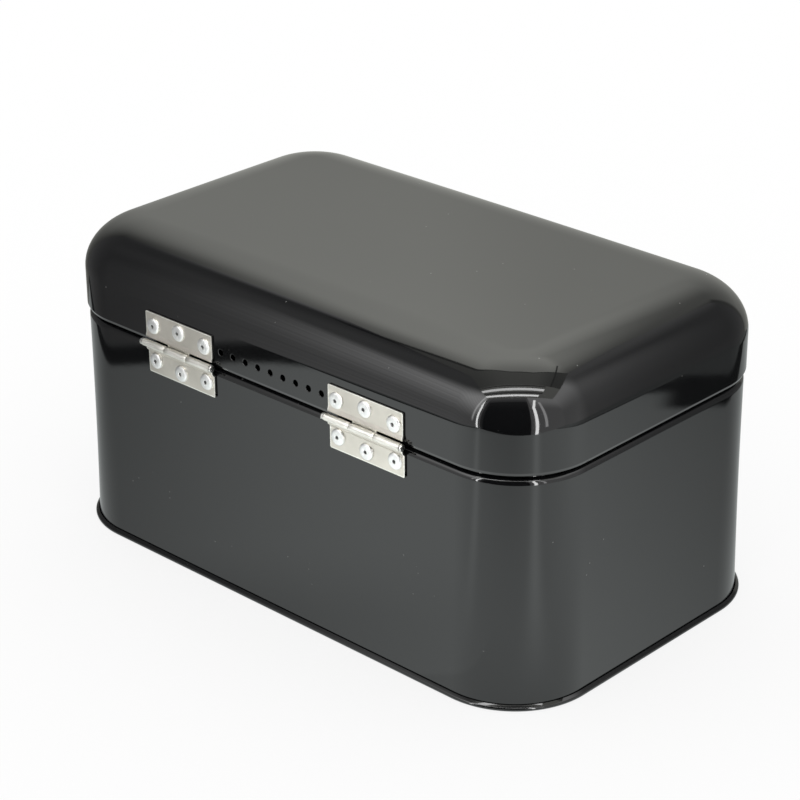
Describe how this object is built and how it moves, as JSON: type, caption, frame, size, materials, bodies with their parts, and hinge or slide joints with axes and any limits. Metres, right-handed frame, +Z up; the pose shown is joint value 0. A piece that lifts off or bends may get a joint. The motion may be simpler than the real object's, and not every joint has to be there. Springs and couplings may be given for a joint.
{
  "type": "bread box",
  "caption": "Black enamelled sheet-steel bread box with round corners; a deep lid swings back on two riveted butt hinges, with a row of vent holes between them.",
  "frame": {"origin": "middle of the whole box in plan, hinges included, on the floor that its base seam rests on", "axes": "+X along the box, +Y towards the hinged back, +Z up"},
  "size_m": [0.3372, 0.2038, 0.1752],
  "materials": {
    "black_enamel": "gloss black enamel",
    "nickel_plate": "nickel-plated steel, satin",
    "pin_steel": "plated steel wire",
    "rivet_aluminium": "plain aluminium"
  },
  "bodies": {
    "box": {"body_wall": "black_enamel", "base_pan": "black_enamel", "left_hinge_box_leaf": "nickel_plate", "left_hinge_pin": "pin_steel", "left_hinge_box_rivet_1": "rivet_aluminium", "left_hinge_box_rivet_2": "rivet_aluminium", "left_hinge_box_rivet_3": "rivet_aluminium", "right_hinge_box_leaf": "nickel_plate", "right_hinge_pin": "pin_steel", "right_hinge_box_rivet_1": "rivet_aluminium", "right_hinge_box_rivet_2": "rivet_aluminium", "right_hinge_box_rivet_3": "rivet_aluminium"},
    "lid": {"lid": "black_enamel", "left_hinge_lid_leaf": "nickel_plate", "left_hinge_lid_rivet_1": "rivet_aluminium", "left_hinge_lid_rivet_2": "rivet_aluminium", "left_hinge_lid_rivet_3": "rivet_aluminium", "right_hinge_lid_leaf": "nickel_plate", "right_hinge_lid_rivet_1": "rivet_aluminium", "right_hinge_lid_rivet_2": "rivet_aluminium", "right_hinge_lid_rivet_3": "rivet_aluminium"}
  },
  "joints": [
    {"name": "lid_hinge", "type": "hinge", "parent": "box", "child": "lid", "pos_m": [0, 0.09995, 0.12505], "axis": [-1, 0, 0], "range_deg": [0, 180]}
  ]
}
